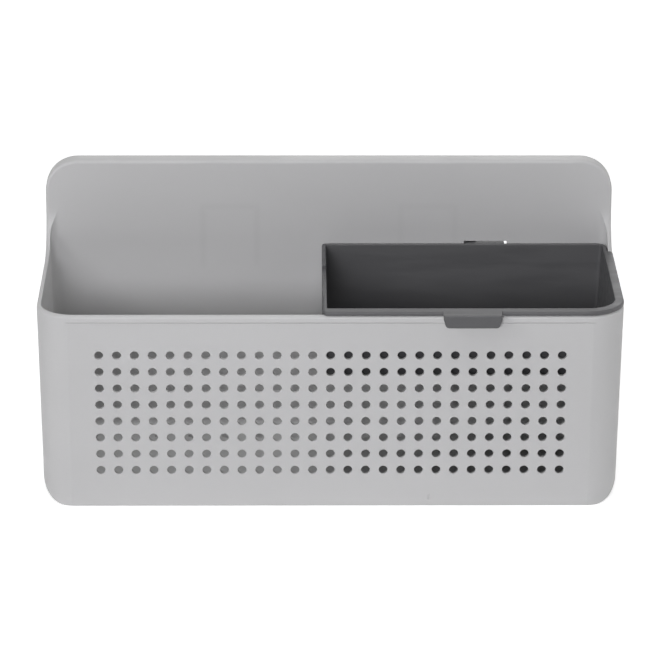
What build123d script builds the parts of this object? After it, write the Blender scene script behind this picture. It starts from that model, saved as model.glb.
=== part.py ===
from build123d import *
import math
import os

# Kitchen sink caddy: a perforated basket with a tall back panel, a tray that
# hangs on the right half of its rim, and two stick-on wall hooks behind it.
# Millimetres. +Z is up, the front faces -Y, and the origin is on the surface
# that the basket stands on, in the middle of the whole caddy's width and depth.

# Basket, outside
basket_width = 264.8
basket_depth = 101.4
rim_height = 92.8
panel_rise = 42.35
draft_angle = 0.9
front_corner_radius = 17.0
bottom_corner_radius = 10.5
panel_corner_radius = 15.0
swoop_radius = 19.0

# Basket, material thickness and edges
wall = 2.0
floor_thickness = 2.2
panel_thickness = 2.2
back_skirt_depth = 8.4
skirt_wall = 2.0
inner_back_radius = 4.0
rim_round = 1.5
skirt_edge_round = 0.6

# The walls are upright in a band along the rim and drafted below it. The flat
# of the front steps back a hair under that band, with a fine groove there,
# where the mould parts
rim_band = 3.1
front_step = 0.15
groove_height = 0.5
groove_depth = 0.2

# Round holes of the front wall. The top row is hole_top_margin under the rim,
# and the rest fills the wall as far as the other margins.
hole_diameter = 4.0
hole_pitch = 8.0
hole_top_margin = 19.0
hole_bottom_margin = 14.0
hole_side_margin = 23.0

# Drain holes of the floor, which fill it as far as these margins
drain_diameter = 5.0
drain_pitch = 16.0
drain_side_margin = 12.0
drain_end_margin = 9.0

# Small upright scar of the moulding gate, low on the front
gate_x = 44.8
gate_height = 4.4
gate_length = 2.7
gate_width = 0.8
gate_depth = 0.3

# Tray, walls
tray_left_x = -3.4
tray_depth = 35.0
tray_wall = 1.8
tray_side_gap = 0.4
tray_front_gap = 1.3
tray_back_gap = 1.4
tray_front_lean = 7.0
tray_side_lean = 2.8
tray_left_lean = 0.4
tray_front_bottom_radius = 12.0
tray_bottom_radius = 2.6
tray_front_corner_radius = 14.5
tray_back_corner_radius = 3.2
tray_left_corner_radius = 2.4

# Tray, flange that rests on the basket's rim
flange_thickness = 2.0
flange_back_gap = 0.8
flange_back_corner_radius = 5.0
flange_back_round = 1.4
flange_swoop_gap = 0.4
flange_arm_reach = 6.8
flange_arm_radius = 1.5
flange_top_round = 0.9
flange_under_round = 0.5
flange_inner_round = 0.35
notch_front_y = -24.0
notch_length = 37.0
notch_depth = 2.1

# Pull tab at the tray's front
pull_x = 63.4
pull_width = 26.2
pull_low_width = 23.9
pull_reach = 5.0
pull_height = 6.15
pull_thickness = 1.8
pull_corner_radius = 2.0
pull_edge_round = 0.6

# Tongue at the tray's back and the slot of the panel that it turns in
tongue_left_x = 64.1
tongue_width = 18.2
tongue_reach = 5.0
tongue_chamfer = 1.6
slot_left_gap = 0.6
slot_right_gap = 1.4
slot_top_gap = 0.65
slot_bottom_gap = 0.3
slot_bevel_angle = 40.0

# Pockets on the back of the panel, open at the bottom, pocket_drop under its top
pocket_x = 46.4
pocket_width = 28.0
pocket_drop = 21.65
pocket_height = 30.5
pocket_rail = 2.6
pocket_lip = 2.8
pocket_lip_thickness = 1.4

# Wall hooks, whose heads sit in the pockets, and their adhesive pads
head_thickness = 1.4
head_gap = 0.25
hook_side_gap = 0.3
plate_gap = 0.3
plate_width = 46.0
plate_height = 58.0
plate_radius = 5.0
plate_drop = 20.0
plate_edge_round = 0.4
pad_thickness = 1.2
pad_border = 1.5
pad_tab_width = 12.0
pad_tab_length = 7.0
pad_tab_radius = 3.5

# Every cut runs past the surface that it opens by this much
overrun = 10.0
arc_overlap = 0.02  # how far a rounding arc runs past the faces it joins

# Places that follow from the sizes above
rear_y = (basket_depth + pull_reach) / 2
front_y = rear_y - basket_depth
panel_y = rear_y - back_skirt_depth
panel_back_y = panel_y + panel_thickness
half_width = basket_width / 2
basket_height = rim_height + panel_rise
band_bottom = rim_height - rim_band
draft_slope = math.tan(math.radians(draft_angle))
base_half_width = half_width - band_bottom * draft_slope
base_front_y = front_y + band_bottom * draft_slope
swoop_start_y = panel_y - swoop_radius
swoop_top = rim_height + swoop_radius
flange_top = rim_height + flange_thickness
flange_back_y = panel_y - flange_back_gap
tray_right_x = half_width - wall - tray_side_gap
tray_front_y = front_y + wall + tray_front_gap
tray_back_y = panel_y - tray_back_gap
tray_bottom = rim_height - tray_depth
front_lean_slope = math.tan(math.radians(tray_front_lean))
side_lean_slope = math.tan(math.radians(tray_side_lean))
left_lean_slope = math.tan(math.radians(tray_left_lean))
hole_half_span = base_half_width - hole_side_margin
hole_columns = 1 + 2 * int(hole_half_span / hole_pitch)
hole_top_height = rim_height - hole_top_margin
hole_rows = 1 + int((hole_top_height - hole_bottom_margin) / hole_pitch)
hole_grid_height = hole_top_height - (hole_rows - 1) * hole_pitch / 2
drain_half_span = base_half_width - drain_side_margin
drain_columns = 1 + 2 * int(drain_half_span / drain_pitch)
drain_half_depth = (panel_y - base_front_y) / 2 - drain_end_margin
drain_rows = 1 + 2 * int(drain_half_depth / drain_pitch)
slot_left_x = tongue_left_x - slot_left_gap
slot_width = slot_left_gap + tongue_width + slot_right_gap
slot_bottom = rim_height - slot_bottom_gap
pocket_bottom = basket_height - pocket_drop - pocket_height
pocket_gap = head_thickness + 2 * head_gap
pocket_depth = pocket_gap + pocket_lip_thickness
pocket_inner_width = pocket_width - 2 * pocket_rail
pocket_inner_height = pocket_height - pocket_rail
pocket_mouth_width = pocket_inner_width - 2 * pocket_lip
pocket_mouth_height = pocket_inner_height - pocket_lip
plate_front_y = panel_back_y + pocket_depth + plate_gap
plate_back_y = rear_y - pad_thickness
front_slant = band_bottom / math.cos(math.radians(draft_angle))

# Planes that sketches are drawn on
back_of_panel = Plane.XZ.offset(-panel_back_y)
front_of_wall = Plane(
    origin=(0, front_y, band_bottom),
    x_dir=(1, 0, 0),
    z_dir=(0, -1, -draft_slope),
)
# Upright planes whose +x runs from one wall towards the middle
from_left = Plane.XZ
from_right = Plane(origin=(0, 0, 0), x_dir=(-1, 0, 0), z_dir=(0, 1, 0))
from_front = Plane.YZ
from_back = Plane(origin=(0, 0, 0), x_dir=(0, -1, 0), z_dir=(-1, 0, 0))
from_back_upside_down = Plane(origin=(0, 0, 0), x_dir=(0, -1, 0), z_dir=(1, 0, 0))


# What is cut away outside a rounded edge between a bottom at the height
# bottom and a wall that leans by lean degrees and meets that bottom at side.
# The edge runs along the plane's normal, and the solid lies towards its +x.
def edge_cutter(plane, side, bottom, lean, radius):
    slope = math.radians(lean)
    reach = radius * (1 - math.sin(slope)) / math.cos(slope)
    low_x = side - arc_overlap
    low_z = bottom - arc_overlap
    floor_point = (low_x + reach, low_z)
    wall_point = (
        low_x - reach * math.sin(slope),
        low_z + reach * math.cos(slope),
    )
    outer_x = side - overrun
    with BuildPart(mode=Mode.PRIVATE) as cutter:
        with BuildSketch(plane):
            with BuildLine():
                TangentArc(floor_point, wall_point, tangent=(-1, 0))
                Polyline(
                    wall_point,
                    (outer_x, wall_point[1]),
                    (outer_x, bottom - overrun),
                    (floor_point[0], bottom - overrun),
                    floor_point,
                )
            make_face()
        extrude(amount=half_width, both=True)
    return cutter.part


# A block with the tub's plan, drawn in by inset: drafted from the height
# bottom up to the rim's band, upright from there to top, with an upright
# back face at back_y.
def tub_block(inset, bottom, top, back_y):
    shrink = (band_bottom - bottom) * draft_slope
    side_x = half_width - inset - shrink
    front_edge_y = front_y + inset + shrink
    depth = back_y + overrun - front_edge_y
    with BuildPart(mode=Mode.PRIVATE) as block:
        with BuildSketch(Plane.XY.offset(bottom)) as plan:
            with Locations((0, front_edge_y)):
                Rectangle(2 * side_x, depth, align=(Align.CENTER, Align.MIN))
            front_corners = plan.vertices().group_by(Axis.Y)[0]
            fillet(front_corners, front_corner_radius - inset - shrink)
        extrude(amount=band_bottom - bottom, taper=-draft_angle)
        extrude(block.faces().sort_by(Axis.Z)[-1], amount=top - band_bottom)
        split(bisect_by=Plane.XZ.offset(-back_y), keep=Keep.TOP)
        for plane in (from_left, from_right):
            radius = bottom_corner_radius - inset
            cutter = edge_cutter(plane, -side_x, bottom, draft_angle, radius)
            add(cutter, mode=Mode.SUBTRACT)
    return block.part


# A block with the tray's plan, drawn in by inset, from the height bottom up
# to top, with leaning walls and rounded bottom edges.
def tray_block(inset, bottom, top):
    with BuildPart(mode=Mode.PRIVATE) as block:
        for height in (bottom, top):
            drop = rim_height - height
            left_x = tray_left_x + inset + drop * left_lean_slope
            right_x = tray_right_x - inset - drop * side_lean_slope
            low_y = tray_front_y + inset + drop * front_lean_slope
            high_y = tray_back_y - inset - drop * side_lean_slope
            with BuildSketch(Plane.XY.offset(height)) as plan:
                with Locations((left_x, low_y)):
                    Rectangle(
                        right_x - left_x,
                        high_y - low_y,
                        align=(Align.MIN, Align.MIN),
                    )
                left_corners = plan.vertices().group_by(Axis.X)[0]
                fillet(left_corners, tray_left_corner_radius - inset)
                right_corners = plan.vertices().group_by(Axis.X)[-1].sort_by(Axis.Y)
                fillet(right_corners[0], tray_front_corner_radius - inset)
                right_corners = plan.vertices().group_by(Axis.X)[-1].sort_by(Axis.Y)
                fillet(right_corners[-1], tray_back_corner_radius - inset)
        loft(ruled=True)
        drop = rim_height - bottom
        left_x = tray_left_x + inset + drop * left_lean_slope
        right_x = tray_right_x - inset - drop * side_lean_slope
        low_y = tray_front_y + inset + drop * front_lean_slope
        high_y = tray_back_y - inset - drop * side_lean_slope
        small = tray_bottom_radius - inset
        large = tray_front_bottom_radius - inset
        edges = (
            (from_left, left_x, tray_left_lean, small),
            (from_right, -right_x, tray_side_lean, small),
            (from_back, -high_y, tray_side_lean, small),
            (from_front, low_y, tray_front_lean, large),
        )
        for plane, side, lean, radius in edges:
            cutter = edge_cutter(plane, side, bottom, lean, radius)
            add(cutter, mode=Mode.SUBTRACT)
    return block.part


# Hollow of the basket
with BuildPart() as basket_hollow:
    add(tub_block(wall, floor_thickness, basket_height + overrun, panel_y))
    back_edges = basket_hollow.edges().group_by(Axis.Y)[-1]
    back_corners = back_edges.filter_by_position(
        Axis.Z,
        bottom_corner_radius,
        basket_height,
    )
    fillet(back_corners, inner_back_radius)

# Hollow behind the panel, open at the back, inside the skirt
with BuildPart() as back_hollow:
    with BuildSketch(back_of_panel) as back_outline:
        with BuildLine():
            Polyline(
                (-base_half_width + skirt_wall, skirt_wall),
                (base_half_width - skirt_wall, skirt_wall),
                (half_width - skirt_wall, band_bottom),
                (half_width - skirt_wall, basket_height - skirt_wall),
                (-half_width + skirt_wall, basket_height - skirt_wall),
                (-half_width + skirt_wall, band_bottom),
                close=True,
            )
        make_face()
        low_corners = back_outline.vertices().group_by(Axis.Y)[0]
        fillet(low_corners, bottom_corner_radius - skirt_wall)
        top_corners = back_outline.vertices().group_by(Axis.Y)[-1]
        fillet(top_corners, panel_corner_radius - skirt_wall)
    extrude(amount=-(back_skirt_depth + overrun))

# Basket with its back panel, one moulding
with BuildPart() as basket:
    add(tub_block(0, 0, basket_height, rear_y))
    # The space above the rim, up to the swoops and the panel's front
    with BuildSketch(Plane.YZ):
        with BuildLine():
            Line((front_y - overrun, rim_height), (swoop_start_y, rim_height))
            RadiusArc(
                (swoop_start_y, rim_height),
                (panel_y, swoop_top),
                -swoop_radius,
            )
            Polyline(
                (panel_y, swoop_top),
                (panel_y, basket_height + overrun),
                (front_y - overrun, basket_height + overrun),
                (front_y - overrun, rim_height),
            )
        make_face()
    extrude(amount=basket_width, both=True, mode=Mode.SUBTRACT)
    panel_corners = basket.edges().filter_by(Axis.Y).group_by(Axis.Z)[-1]
    fillet(panel_corners, panel_corner_radius)
    # Rounded outer edge along the rim, up the swoops and round the panel
    outer_edges = basket.edges().filter_by_position(Axis.Z, rim_height, basket_height)
    outer_edges = outer_edges.filter_by_position(Axis.Y, front_y, panel_y)
    across = outer_edges.filter_by(Axis.X)
    across = across.filter_by_position(Axis.Y, swoop_start_y, panel_y)
    across = across.filter_by_position(Axis.Z, rim_height, swoop_top)
    fillet(outer_edges - across, rim_round)
    rear_edges = basket.edges().filter_by_position(Axis.Y, rear_y, rear_y)
    fillet(rear_edges, skirt_edge_round)
    add(basket_hollow.part, mode=Mode.SUBTRACT)
    add(back_hollow.part, mode=Mode.SUBTRACT)
    # Pockets for the wall hooks: solid blocks, then room for each hook's head,
    # then the mouth between the two lips
    pocket_places = ((-pocket_x, pocket_bottom), (pocket_x, pocket_bottom))
    with BuildSketch(back_of_panel):
        with Locations(pocket_places):
            Rectangle(pocket_width, pocket_height, align=(Align.CENTER, Align.MIN))
    extrude(amount=-pocket_depth)
    with BuildSketch(back_of_panel):
        with Locations(pocket_places):
            Rectangle(
                pocket_inner_width,
                pocket_inner_height,
                align=(Align.CENTER, Align.MIN),
            )
    extrude(amount=-pocket_gap, mode=Mode.SUBTRACT)
    with BuildSketch(back_of_panel):
        with Locations(pocket_places):
            Rectangle(
                pocket_mouth_width,
                pocket_mouth_height,
                align=(Align.CENTER, Align.MIN),
            )
    extrude(amount=-pocket_depth, mode=Mode.SUBTRACT)
    # Slot for the tray's tongue, bevelled downwards behind its front edge
    with BuildSketch(Plane.YZ.offset(slot_left_x)):
        with BuildLine():
            bevel_run = panel_thickness + wall
            bevel_drop = bevel_run * math.tan(math.radians(slot_bevel_angle))
            Polyline(
                (panel_y - wall, slot_bottom),
                (panel_y, slot_bottom),
                (panel_y + bevel_run, slot_bottom - bevel_drop),
                (panel_y + bevel_run, flange_top + slot_top_gap),
                (panel_y - wall, flange_top + slot_top_gap),
                close=True,
            )
        make_face()
    extrude(amount=slot_width, mode=Mode.SUBTRACT)
    # Step of the front's flat under the rim's band, and the gate's scar
    with BuildSketch(front_of_wall):
        Rectangle(
            basket_width,
            front_slant + overrun,
            align=(Align.CENTER, Align.MAX),
        )
    extrude(amount=-front_step, mode=Mode.SUBTRACT)
    with BuildSketch(front_of_wall):
        Rectangle(basket_width, groove_height, align=(Align.CENTER, Align.MAX))
    extrude(amount=-(front_step + groove_depth), mode=Mode.SUBTRACT)
    with BuildSketch(front_of_wall):
        with Locations((gate_x, gate_height - front_slant)):
            SlotOverall(gate_length, gate_width, rotation=90)
    extrude(amount=-(front_step + gate_depth), mode=Mode.SUBTRACT)
    # Round holes of the front wall
    with BuildSketch(Plane.XZ.offset(overrun - front_y)):
        with Locations((0, hole_grid_height)):
            with GridLocations(hole_pitch, hole_pitch, hole_columns, hole_rows):
                Circle(hole_diameter / 2)
    extrude(amount=-2 * overrun, mode=Mode.SUBTRACT)
    # Drain holes of the floor
    with BuildSketch(Plane.XY):
        with Locations((0, (base_front_y + panel_y) / 2)):
            with GridLocations(drain_pitch, drain_pitch, drain_columns, drain_rows):
                Circle(drain_diameter / 2)
    extrude(amount=floor_thickness, both=True, mode=Mode.SUBTRACT)
basket.part.label = "basket"

# Hollow of the tray
tray_hollow = tray_block(tray_wall, tray_bottom + tray_wall, flange_top + overrun)

# Space that the flange leaves to the swoop, beside the tray's right wall
with BuildPart() as swoop_space:
    with BuildSketch(Plane.YZ.offset(tray_right_x)):
        with Locations((swoop_start_y, swoop_top)):
            Rectangle(
                swoop_radius + overrun,
                swoop_radius + overrun,
                align=(Align.MIN, Align.MAX),
            )
            Circle(swoop_radius - flange_swoop_gap, mode=Mode.SUBTRACT)
    extrude(amount=half_width)

# Tray that hangs on the rim, one moulding
with BuildPart() as tray:
    with BuildSketch(Plane.XY.offset(rim_height)) as flange_plan:
        with Locations((tray_left_x, front_y)):
            Rectangle(
                tray_right_x - tray_left_x,
                flange_back_y - front_y,
                align=(Align.MIN, Align.MIN),
            )
        left_corners = flange_plan.vertices().group_by(Axis.X)[0]
        fillet(left_corners, tray_left_corner_radius)
        right_corners = flange_plan.vertices().group_by(Axis.X)[-1].sort_by(Axis.Y)
        fillet(right_corners[-1], flange_back_corner_radius)
        # The part over the basket's right wall, as far as the swoop
        with Locations((half_width, front_y)):
            Rectangle(
                front_corner_radius,
                swoop_start_y + flange_arm_reach - front_y,
                align=(Align.MAX, Align.MIN),
            )
        right_corners = flange_plan.vertices().group_by(Axis.X)[-1].sort_by(Axis.Y)
        fillet(right_corners[0], front_corner_radius)
        right_corners = flange_plan.vertices().group_by(Axis.X)[-1].sort_by(Axis.Y)
        fillet(right_corners[-1], flange_arm_radius)
    extrude(amount=flange_thickness)
    fillet(tray.edges().group_by(Axis.Z)[-1], flange_top_round)
    fillet(tray.edges().group_by(Axis.Z)[0], flange_under_round)
    # The back edge is rounded more, so that it clears the panel as it turns
    back_cutter = edge_cutter(
        from_back_upside_down,
        -flange_back_y,
        -flange_top,
        0,
        flange_back_round,
    )
    add(back_cutter, mode=Mode.SUBTRACT)
    add(swoop_space.part, mode=Mode.SUBTRACT)
    add(tray_block(0, tray_bottom, rim_height))
    # Pull tab: a shelf in front of the flange with a lip that hangs down
    with BuildSketch(Plane.XY.offset(rim_height)):
        with Locations((pull_x, front_y - pull_reach)):
            Rectangle(
                pull_width,
                pull_reach + wall,
                align=(Align.CENTER, Align.MIN),
            )
    extrude(amount=flange_thickness)
    with BuildSketch(Plane.XZ.offset(pull_reach - front_y)) as lip_outline:
        with BuildLine():
            Polyline(
                (pull_x - pull_width / 2, flange_top),
                (pull_x - pull_width / 2, rim_height),
                (pull_x - pull_low_width / 2, flange_top - pull_height),
                (pull_x + pull_low_width / 2, flange_top - pull_height),
                (pull_x + pull_width / 2, rim_height),
                (pull_x + pull_width / 2, flange_top),
                close=True,
            )
        make_face()
        fillet(lip_outline.vertices().group_by(Axis.Y)[0], pull_corner_radius)
    extrude(amount=-pull_thickness)
    fillet(tray.edges().group_by(Axis.Y)[0], pull_edge_round)
    # Tongue behind the flange
    with BuildSketch(Plane.XY.offset(rim_height)) as tongue_outline:
        with Locations((tongue_left_x, tray_back_y)):
            Rectangle(
                tongue_width,
                tray_back_gap + tongue_reach,
                align=(Align.MIN, Align.MIN),
            )
        chamfer(tongue_outline.vertices().group_by(Axis.Y)[-1], tongue_chamfer)
    extrude(amount=flange_thickness)
    add(tray_hollow, mode=Mode.SUBTRACT)
    # Inner edge of the opening
    opening_edges = tray.edges().filter_by_position(Axis.Z, flange_top, flange_top)
    opening_edges = opening_edges.filter_by_position(
        Axis.X,
        tray_left_x + tray_wall - flange_inner_round,
        tray_right_x - tray_wall / 2,
    )
    opening_edges = opening_edges.filter_by_position(
        Axis.Y,
        tray_front_y + tray_wall / 2,
        tray_back_y - tray_wall / 2,
    )
    fillet(opening_edges, flange_inner_round)
    # Shallow notch in the top of the left wall
    with BuildSketch(Plane.XY.offset(flange_top)):
        with Locations((tray_left_x - overrun, notch_front_y)):
            Rectangle(
                overrun + tray_wall + tray_left_corner_radius,
                notch_length,
                align=(Align.MIN, Align.MIN),
            )
    extrude(amount=-notch_depth, mode=Mode.SUBTRACT)
tray.part.label = "tray"


# A wall hook at x: a head that fills its pocket, a neck between the pocket's
# lips and a plate behind them. The pad is stuck to the plate's back.
def wall_hook(x, name):
    with BuildPart() as hook:
        with BuildSketch(Plane.XZ.offset(-plate_front_y)):
            with Locations((x, pocket_bottom - plate_drop + plate_height / 2)):
                RectangleRounded(plate_width, plate_height, plate_radius)
        extrude(amount=-(plate_back_y - plate_front_y))
        fillet(hook.edges().group_by(Axis.Y)[0], plate_edge_round)
        fillet(hook.edges().group_by(Axis.Y)[-1], plate_edge_round)
        with BuildSketch(Plane.XZ.offset(-panel_back_y - head_gap)):
            with Locations((x, pocket_bottom)):
                Rectangle(
                    pocket_inner_width - 2 * hook_side_gap,
                    pocket_inner_height - hook_side_gap,
                    align=(Align.CENTER, Align.MIN),
                )
        extrude(amount=-head_thickness)
        with BuildSketch(Plane.XZ.offset(-panel_back_y - head_gap)):
            with Locations((x, pocket_bottom)):
                Rectangle(
                    pocket_mouth_width - 2 * hook_side_gap,
                    pocket_mouth_height - hook_side_gap,
                    align=(Align.CENTER, Align.MIN),
                )
        extrude(amount=-(plate_front_y - panel_back_y - head_gap))
    hook.part.label = name
    return hook.part


# Its pad, with a tab at the bottom to peel it off by
def adhesive_pad(x, name):
    with BuildPart() as pad:
        with BuildSketch(Plane.XZ.offset(-plate_back_y)):
            with Locations((x, pocket_bottom - plate_drop + plate_height / 2)):
                RectangleRounded(
                    plate_width - 2 * pad_border,
                    plate_height - 2 * pad_border,
                    plate_radius - pad_border,
                )
            with Locations((x, pocket_bottom - plate_drop + pad_border)):
                RectangleRounded(pad_tab_width, 2 * pad_tab_length, pad_tab_radius)
        extrude(amount=-pad_thickness)
    pad.part.label = name
    return pad.part


os.makedirs("parts", exist_ok=True)
export_step(basket.part, "parts/basket.step")
export_step(tray.part, "parts/tray.step")
for side, x in (("left", -pocket_x), ("right", pocket_x)):
    export_step(wall_hook(x, "wall_hook_" + side), "parts/wall_hook_" + side + ".step")
    export_step(
        adhesive_pad(x, "adhesive_pad_" + side),
        "parts/adhesive_pad_" + side + ".step",
    )
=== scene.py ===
import math

import bpy
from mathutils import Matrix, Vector

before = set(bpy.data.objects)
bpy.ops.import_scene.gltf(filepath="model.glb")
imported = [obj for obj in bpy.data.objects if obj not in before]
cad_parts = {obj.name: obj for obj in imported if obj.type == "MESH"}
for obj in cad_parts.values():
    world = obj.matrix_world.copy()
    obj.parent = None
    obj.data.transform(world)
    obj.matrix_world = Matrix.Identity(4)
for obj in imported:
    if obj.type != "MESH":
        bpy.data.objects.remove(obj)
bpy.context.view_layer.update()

scene = bpy.context.scene

# Long lens, a little above the rim, almost straight on
shot = {
    "place": (-0.01704, -1.59353, 0.67747),
    "tilt": 69.0639,          # degrees up from looking straight down
    "bank": -0.1747,
    "turn": -0.5522,
    "lens": 201.818,
    "sensor": 36.0,
    "nearest": 0.05,
    "farthest": 30.0,
}

# Softboxes by their angle round the object (0 is the camera's side), their
# angle above the floor, their size, their power and how blue they are
studio = {
    "lamps": {
        "frontSoftbox": {"around": -9.0, "above": 17.0, "across": 0.6, "power": 20.5, "blue": 0.015},
        "keySoftbox": {"around": -45.0, "above": 20.0, "across": 1.0, "power": 3.5, "blue": 0.015},
        "leftSoftbox": {"around": -60.0, "above": 35.0, "across": 1.0, "power": 10.0, "blue": 0.0},
        "topSoftbox": {"around": 0.0, "above": 80.0, "across": 1.0, "power": 12.8, "blue": 0.0},
        "backSoftbox": {"around": 180.0, "above": 45.0, "across": 1.0, "power": 8.5, "blue": 0.0},
        "wallSoftbox": {"around": 174.0, "above": 3.0, "across": 1.0, "power": 6.0, "blue": 0.0},
        "rightSoftbox": {"around": 85.0, "above": 20.0, "across": 1.0, "power": 11.0, "blue": 0.0},
    },
    "aim": (0.0, 0.0, 0.07),
    "distance": 2.4,
    "backdrop": (1.0, 1.0, 1.0),
    "floorColour": (0.92, 0.92, 0.92),
    "floorGlow": 0.65,        # what the eye and mirrors see on top of the lit floor
    "floorReach": 6.0,
    "floorDrop": 0.0003,
}


def addCamera():
    data = bpy.data.cameras.new("shotCamera")
    data.lens = shot["lens"]
    data.sensor_width = shot["sensor"]
    data.clip_start = shot["nearest"]
    data.clip_end = shot["farthest"]
    camera = bpy.data.objects.new("shotCamera", data)
    camera.location = shot["place"]
    angles = (shot["tilt"], shot["bank"], shot["turn"])
    camera.rotation_euler = [math.radians(angle) for angle in angles]
    scene.collection.objects.link(camera)
    scene.camera = camera


def addSoftbox(name, lamp):
    data = bpy.data.lights.new(name, "AREA")
    data.shape = "DISK"
    data.size = lamp["across"]
    data.energy = lamp["power"]
    data.color = (1.0 - lamp["blue"], 1.0 - lamp["blue"], 1.0 + lamp["blue"])
    box = bpy.data.objects.new(name, data)
    around = math.radians(lamp["around"])
    above = math.radians(lamp["above"])
    way = Vector((
        math.sin(around) * math.cos(above),
        -math.cos(around) * math.cos(above),
        math.sin(above),
    ))
    box.location = Vector(studio["aim"]) + way * studio["distance"]
    box.rotation_euler = way.to_track_quat("Z", "Y").to_euler()
    scene.collection.objects.link(box)


def addNode(tree, kind, **settings):
    made = tree.nodes.new(kind)
    for setting, value in settings.items():
        setattr(made, setting, value)
    return made


# Two or three values joined by a Math node; plain numbers go into its sockets
def reckon(tree, operation, *values):
    made = addNode(tree, "ShaderNodeMath", operation=operation)
    for socket, value in zip(made.inputs, values):
        if isinstance(value, float):
            socket.default_value = value
        else:
            tree.links.new(value, socket)
    return made.outputs[0]


# 1 for the eye, for mirrors and through glass
def seenDirectly(tree):
    path = addNode(tree, "ShaderNodeLightPath")
    seen = reckon(tree, "MAXIMUM", path.outputs["Is Camera Ray"], path.outputs["Is Glossy Ray"])
    return reckon(tree, "MAXIMUM", seen, path.outputs["Is Transmission Ray"])


# White behind everything, and no light from it
def whiteAir():
    world = bpy.data.worlds.new("studioAir")
    scene.world = world
    world.use_nodes = True
    tree = world.node_tree
    air = tree.nodes["Background"]
    air.inputs["Color"].default_value = (*studio["backdrop"], 1.0)
    tree.links.new(seenDirectly(tree), air.inputs["Strength"])


def addFloor():
    reach = studio["floorReach"]
    mesh = bpy.data.meshes.new("studioFloor")
    corners = [(-reach, -reach, 0), (reach, -reach, 0), (reach, reach, 0), (-reach, reach, 0)]
    mesh.from_pydata(corners, [], [(0, 1, 2, 3)])
    floor = bpy.data.objects.new("studioFloor", mesh)
    floor.location.z = -studio["floorDrop"]
    scene.collection.objects.link(floor)
    material = bpy.data.materials.new("paleFloor")
    material.use_nodes = True
    tree = material.node_tree
    tree.nodes.clear()
    output = addNode(tree, "ShaderNodeOutputMaterial")
    matt = addNode(tree, "ShaderNodeBsdfDiffuse")
    matt.inputs["Color"].default_value = (*studio["floorColour"], 1.0)
    glow = addNode(tree, "ShaderNodeEmission")
    strength = reckon(tree, "MULTIPLY", seenDirectly(tree), studio["floorGlow"])
    tree.links.new(strength, glow.inputs["Strength"])
    both = addNode(tree, "ShaderNodeAddShader")
    tree.links.new(matt.outputs[0], both.inputs[0])
    tree.links.new(glow.outputs[0], both.inputs[1])
    tree.links.new(both.outputs[0], output.inputs["Surface"])
    mesh.materials.append(material)


addCamera()
for name, lamp in studio["lamps"].items():
    addSoftbox(name, lamp)
whiteAir()
addFloor()
scene.view_settings.view_transform = "Standard"
print("camera, softboxes and floor are set")

# A Mix node has a set of sockets for each kind of value; these are for colours
mixSockets = {"amount": 0, "first": 6, "second": 7, "result": 2}

# How each kind of mark is drawn, the same on every moulded plastic. A detail
# is how ragged it is, and a span is which part of the noise it comes from
mouldedSkin = {
    "edgeSamples": 6,
    "edgeSpan": (0.80, 0.99),     # how far the softened face turns at an edge
    "flowDetail": 3.0,
    "flowSpan": (0.3, 0.7),
    "speckDetail": 1.0,
    "speckSpan": (0.62, 0.78),
    "streakDetail": 4.0,
    "streakSpan": (0.35, 0.65),
    "waveDetail": 1.0,
    "grainDetail": 2.0,
}


# Soft random blotches of a given size in metres, near 0.5
def blotches(tree, place, size, detail, stretch=(1.0, 1.0, 1.0)):
    scaled = addNode(tree, "ShaderNodeVectorMath", operation="MULTIPLY")
    scaled.inputs[1].default_value = [1.0 / (size * share) for share in stretch]
    tree.links.new(place, scaled.inputs[0])
    noise = addNode(tree, "ShaderNodeTexNoise")
    noise.inputs["Scale"].default_value = 1.0
    noise.inputs["Detail"].default_value = detail
    tree.links.new(scaled.outputs[0], noise.inputs["Vector"])
    return noise.outputs["Fac"]


# A value moved from one range to another, with soft ends
def remap(tree, value, fromLow, fromHigh, low, high):
    made = addNode(tree, "ShaderNodeMapRange", interpolation_type="SMOOTHSTEP")
    made.inputs["From Min"].default_value = fromLow
    made.inputs["From Max"].default_value = fromHigh
    made.inputs["To Min"].default_value = low
    made.inputs["To Max"].default_value = high
    tree.links.new(value, made.inputs["Value"])
    return made.outputs["Result"]


def mixColours(tree, amount, first, second):
    made = addNode(tree, "ShaderNodeMix", data_type="RGBA")
    tree.links.new(amount, made.inputs[mixSockets["amount"]])
    for which, colour in (("first", first), ("second", second)):
        socket = made.inputs[mixSockets[which]]
        if isinstance(colour, tuple):
            socket.default_value = (*colour, 1.0)
        else:
            tree.links.new(colour, socket)
    return made.outputs[mixSockets["result"]]


def shade(colour, share):
    return tuple(channel * share for channel in colour)


def bump(tree, height, depth, normal):
    made = addNode(tree, "ShaderNodeBump")
    made.inputs["Strength"].default_value = 1.0
    made.inputs["Distance"].default_value = depth
    tree.links.new(height, made.inputs["Height"])
    tree.links.new(normal, made.inputs["Normal"])
    return made.outputs["Normal"]


# 1 where a value is at the middle, falling to 0 at reach on both sides
def band(tree, value, middle, reach):
    off = reckon(tree, "ABSOLUTE", reckon(tree, "SUBTRACT", value, middle))
    return remap(tree, off, 0.0, reach, 1.0, 0.0)


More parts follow.
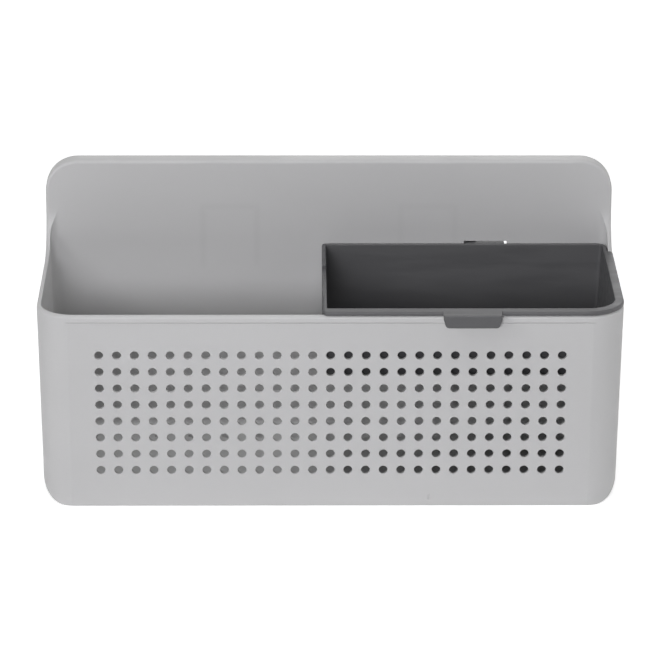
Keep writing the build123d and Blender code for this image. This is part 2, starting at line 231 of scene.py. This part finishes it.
# The softened edges' radius: wider by the upright corners, inside the box
# that the look gives, so that flat walls run into round ones without a line
def easing(tree, place, look):
    parts = addNode(tree, "ShaderNodeSeparateXYZ")
    tree.links.new(place, parts.inputs[0])
    x, y, z = parts.outputs
    ease = look["ease"]
    halfSpan = ease["halfSpan"]
    side = reckon(tree, "ABSOLUTE", reckon(tree, "SUBTRACT", x, ease["middle"]))
    wide = remap(tree, side, halfSpan, halfSpan + ease["fade"], 0.0, 1.0)
    low = remap(tree, z, ease["low"], ease["low"] + ease["fade"], 0.0, 1.0)
    high = remap(tree, z, ease["high"] - ease["fade"], ease["high"], 1.0, 0.0)
    wide = reckon(tree, "MULTIPLY", wide, reckon(tree, "MULTIPLY", low, high))
    return reckon(tree, "MULTIPLY_ADD", wide, ease["radius"] - look["edgeRound"], look["edgeRound"])


def softEdges(tree, place, look):
    soft = addNode(tree, "ShaderNodeBevel", samples=mouldedSkin["edgeSamples"])
    if "ease" in look:
        tree.links.new(easing(tree, place, look), soft.inputs["Radius"])
    else:
        soft.inputs["Radius"].default_value = look["edgeRound"]
    return soft.outputs["Normal"]


# 1 where a softened edge turns away from the face that it is on
def edgeMask(tree, softened):
    plain = addNode(tree, "ShaderNodeNewGeometry").outputs["Normal"]
    turned = addNode(tree, "ShaderNodeVectorMath", operation="DOT_PRODUCT")
    tree.links.new(softened, turned.inputs[0])
    tree.links.new(plain, turned.inputs[1])
    return remap(tree, turned.outputs["Value"], *mouldedSkin["edgeSpan"], 1.0, 0.0)


# Slow changes of tone, fine specks, and a painted highlight that makes the edges a bit paler
def mouldedColour(tree, place, softened, look):
    colour = look["colour"]
    tone = look["toneShare"]
    flow = blotches(tree, place, look["flowSize"], mouldedSkin["flowDetail"], look["flowStretch"])
    flow = remap(tree, flow, *mouldedSkin["flowSpan"], 0.0, 1.0)
    base = mixColours(tree, flow, shade(colour, 1.0 - tone), shade(colour, 1.0 + tone))
    specks = blotches(tree, place, look["speckSize"], mouldedSkin["speckDetail"])
    specks = remap(tree, specks, *mouldedSkin["speckSpan"], 0.0, look["speckAmount"])
    base = mixColours(tree, specks, base, shade(colour, look["speckShare"]))
    # painted highlight: where a softened edge turns, the colour is mixed towards a paler shade of it
    edgeHighlight = reckon(tree, "MULTIPLY", edgeMask(tree, softened), look["edgeHighlightAmount"])
    return mixColours(tree, edgeHighlight, base, shade(colour, look["edgeHighlightShare"]))


# A slightly wavy surface with a fine grain
def mouldedNormal(tree, place, softened, look):
    wave = blotches(tree, place, look["waveSize"], mouldedSkin["waveDetail"])
    normal = bump(tree, wave, look["waveDepth"], softened)
    grain = blotches(tree, place, look["grainSize"], mouldedSkin["grainDetail"])
    return bump(tree, grain, look["grainDepth"], normal)


# Faint streaks that are rubbed smoother or rougher
def mouldedRoughness(tree, place, look):
    streaks = blotches(tree, place, look["streakSize"], mouldedSkin["streakDetail"], look["streakStretch"])
    low = look["roughness"] - look["roughnessReach"]
    high = look["roughness"] + look["roughnessReach"]
    return remap(tree, streaks, *mouldedSkin["streakSpan"], low, high)


def mouldedPlastic(look, paintedShade=None):
    material = bpy.data.materials.new(look["name"])
    material.use_nodes = True
    tree = material.node_tree
    shader = tree.nodes["Principled BSDF"]
    place = addNode(tree, "ShaderNodeTexCoord").outputs["Object"]
    softened = softEdges(tree, place, look)
    base = mouldedColour(tree, place, softened, look)
    # a painted shade, if one is given, is mixed into the colour
    if paintedShade is not None:
        base = paintedShade(tree, place, base, look["colour"])
    tree.links.new(base, shader.inputs["Base Color"])
    tree.links.new(mouldedRoughness(tree, place, look), shader.inputs["Roughness"])
    tree.links.new(mouldedNormal(tree, place, softened, look), shader.inputs["Normal"])
    shader.inputs["Specular IOR Level"].default_value = look["shine"]
    return material


def dress(node, material):
    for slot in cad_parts[node].material_slots:
        slot.material = material


# Basket: light grey, satin, all one moulding
basketLook = {
    "name": "basketPlastic",
    "colour": (0.600, 0.598, 0.598),
    "toneShare": 0.012,
    "flowSize": 0.045,
    "flowStretch": (2.4, 1.0, 1.0),
    "speckSize": 0.0007,
    "speckAmount": 0.35,
    "speckShare": 0.93,
    "edgeRound": 0.0004,
    "edgeHighlightAmount": 0.6,
    "edgeHighlightShare": 1.12,
    "streakSize": 0.012,
    "streakStretch": (3.0, 1.0, 0.6),
    "roughness": 0.50,
    "roughnessReach": 0.05,
    "waveSize": 0.030,
    "waveDepth": 0.00012,
    "grainSize": 0.0005,
    "grainDepth": 0.000012,
    "shine": 0.5,
    "ease": {
        "middle": 0.0,
        "halfSpan": 0.109,
        "low": 0.005,
        "high": 0.086,
        "fade": 0.003,
        "radius": 0.0017,
    },
}

# Painted shade on the panel's front, over the rails of the pockets behind it, where the thicker plastic
# lets less light from behind through the panel
railShadeLook = {
    "side": 0.0464,
    "railOffset": 0.0126,
    "low": 0.083,
    "high": 0.1125,
    "reach": 0.0028,
    "panelFront": 0.0448,
    "frontReach": 0.0006,
    "amount": 0.6,
    "share": 0.955,
}


# painted shade: darkens the panel's colour over the pocket rails and the bar across their top
def railShade(tree, place, base, colour):
    parts = addNode(tree, "ShaderNodeSeparateXYZ")
    tree.links.new(place, parts.inputs[0])
    x, y, z = parts.outputs
    reach = railShadeLook["reach"]
    offset = railShadeLook["railOffset"]
    inPocket = reckon(tree, "SUBTRACT", reckon(tree, "ABSOLUTE", x), railShadeLook["side"])
    inPocket = reckon(tree, "ABSOLUTE", inPocket)
    low = remap(tree, z, railShadeLook["low"] - reach, railShadeLook["low"] + reach, 0.0, 1.0)
    high = remap(tree, z, railShadeLook["high"], railShadeLook["high"] + reach, 1.0, 0.0)
    rails = reckon(tree, "MULTIPLY", low, high)
    rails = reckon(tree, "MULTIPLY", rails, band(tree, inPocket, offset, reach))
    within = remap(tree, inPocket, offset, offset + reach, 1.0, 0.0)
    bar = reckon(tree, "MULTIPLY", within, band(tree, z, railShadeLook["high"], reach))
    mask = reckon(tree, "MAXIMUM", rails, bar)
    onPanel = band(tree, y, railShadeLook["panelFront"], railShadeLook["frontReach"])
    mask = reckon(tree, "MULTIPLY", mask, onPanel)
    mask = reckon(tree, "MULTIPLY", mask, railShadeLook["amount"])
    return mixColours(tree, mask, base, shade(colour, railShadeLook["share"]))


dress("basket", mouldedPlastic(basketLook, railShade))
print("basket is dressed")

# Tray: dark grey, a little smoother, rubbed along its length where things slide
trayLook = {
    "name": "trayPlastic",
    "colour": (0.086, 0.086, 0.0895),
    "toneShare": 0.03,
    "flowSize": 0.030,
    "flowStretch": (2.0, 1.0, 1.0),
    "speckSize": 0.0006,
    "speckAmount": 0.3,
    "speckShare": 1.25,
    "edgeRound": 0.0004,
    "edgeHighlightAmount": 0.7,
    "edgeHighlightShare": 1.45,
    "streakSize": 0.004,
    "streakStretch": (8.0, 1.0, 1.0),
    "roughness": 0.45,
    "roughnessReach": 0.06,
    "waveSize": 0.020,
    "waveDepth": 0.00008,
    "grainSize": 0.0004,
    "grainDepth": 0.000012,
    "shine": 0.5,
    "ease": {
        "middle": 0.0625,
        "halfSpan": 0.050,
        "low": 0.061,
        "high": 0.091,
        "fade": 0.003,
        "radius": 0.0014,
    },
}
dress("tray", mouldedPlastic(trayLook))
print("tray is dressed")

# Wall hooks: off-white, harder and shinier than the basket
hookLook = {
    "name": "hookPlastic",
    "colour": (0.66, 0.655, 0.645),
    "toneShare": 0.015,
    "flowSize": 0.012,
    "flowStretch": (1.0, 1.0, 2.5),
    "speckSize": 0.0005,
    "speckAmount": 0.25,
    "speckShare": 0.9,
    "edgeRound": 0.0005,
    "edgeHighlightAmount": 0.5,
    "edgeHighlightShare": 1.08,
    "streakSize": 0.003,
    "streakStretch": (0.7, 1.0, 7.0),
    "roughness": 0.33,
    "roughnessReach": 0.07,
    "waveSize": 0.009,
    "waveDepth": 0.00006,
    "grainSize": 0.0006,
    "grainDepth": 0.000008,
    "shine": 0.5,
}
hookPlastic = mouldedPlastic(hookLook)
for side in ("left", "right"):
    dress("wall_hook_" + side, hookPlastic)
print("wall hooks are dressed")

# Adhesive pads: closed-cell foam with open cells cut through at its surface, and painted shade in those
# open cells that is deeper in some patches
padLook = {
    "name": "padFoam",
    "colour": (0.74, 0.735, 0.71),
    "cellShadeColour": (0.50, 0.495, 0.475),
    "cellSize": 0.00055,
    "cellDepth": 0.00014,
    "cellSpan": (0.15, 0.6),      # from a cell's middle to where its wall begins
    "patchSize": 0.009,
    "patchDetail": 3.0,
    "patchSpan": (0.3, 0.7),
    "patchCellShade": (0.45, 0.9),
    "roughness": 0.82,
    "roughnessReach": 0.06,
    "edgeRound": 0.0003,
    "edgeSamples": 4,
}


def foamPad(look):
    material = bpy.data.materials.new(look["name"])
    material.use_nodes = True
    tree = material.node_tree
    shader = tree.nodes["Principled BSDF"]
    place = addNode(tree, "ShaderNodeTexCoord").outputs["Object"]
    cells = addNode(tree, "ShaderNodeTexVoronoi", feature="SMOOTH_F1")
    cells.inputs["Scale"].default_value = 1.0 / look["cellSize"]
    tree.links.new(place, cells.inputs["Vector"])
    cut = remap(tree, cells.outputs["Distance"], *look["cellSpan"], 1.0, 0.0)
    patches = blotches(tree, place, look["patchSize"], look["patchDetail"])
    cellShade = remap(tree, patches, *look["patchSpan"], *look["patchCellShade"])
    # painted shade: the middles of the open cells are mixed towards a darker colour
    cellShade = reckon(tree, "MULTIPLY", cut, cellShade)
    base = mixColours(tree, cellShade, look["colour"], look["cellShadeColour"])
    low = look["roughness"] - look["roughnessReach"]
    high = look["roughness"] + look["roughnessReach"]
    rough = remap(tree, patches, *look["patchSpan"], low, high)
    soft = addNode(tree, "ShaderNodeBevel", samples=look["edgeSamples"])
    soft.inputs["Radius"].default_value = look["edgeRound"]
    normal = bump(tree, cells.outputs["Distance"], look["cellDepth"], soft.outputs["Normal"])
    tree.links.new(base, shader.inputs["Base Color"])
    tree.links.new(rough, shader.inputs["Roughness"])
    tree.links.new(normal, shader.inputs["Normal"])
    return material


padFoam = foamPad(padLook)
for side in ("left", "right"):
    dress("adhesive_pad_" + side, padFoam)
print("adhesive pads are dressed")
